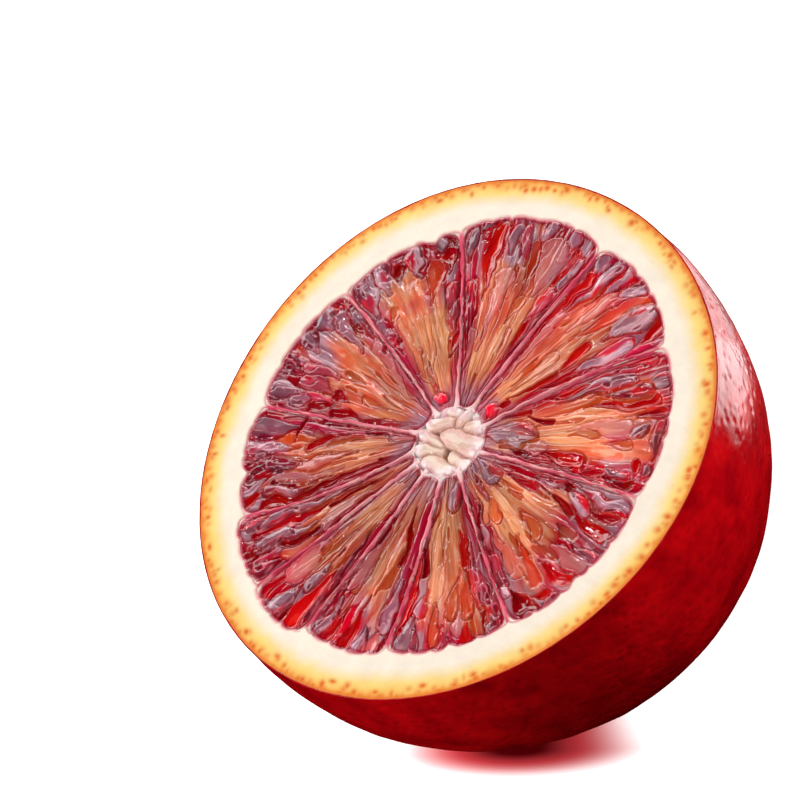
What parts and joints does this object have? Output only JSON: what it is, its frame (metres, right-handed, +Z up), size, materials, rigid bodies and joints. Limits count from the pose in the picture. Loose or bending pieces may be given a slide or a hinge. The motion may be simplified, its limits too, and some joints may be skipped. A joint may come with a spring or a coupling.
{
  "type": "blood orange half",
  "caption": "Halved citrus fruit with dark red pulp wedges in a thick pale pith bowl, resting on its rounded end with the cut face up.",
  "frame": {"origin": "centre of the small flat spot on the rounded end that the half rests on", "axes": "+Z up, square to the cut face; +X to the right and +Y away from the viewer as the cut face is seen"},
  "size_m": [0.072, 0.072, 0.0443],
  "materials": {
    "skin": "waxy, finely pored deep red citrus skin",
    "pith": "dry, slightly spongy cream white pith",
    "pulp": "wet, translucent orange to wine red juice sacs"
  },
  "bodies": {
    "root": {"peel": "skin", "core_and_membranes": "pith", "segment_01": "pulp", "segment_02": "pulp", "segment_03": "pulp", "segment_04": "pulp", "segment_05": "pulp", "segment_06": "pulp", "segment_07": "pulp", "segment_08": "pulp", "segment_09": "pulp", "segment_10": "pulp", "segment_11": "pulp"}
  },
  "joints": []
}
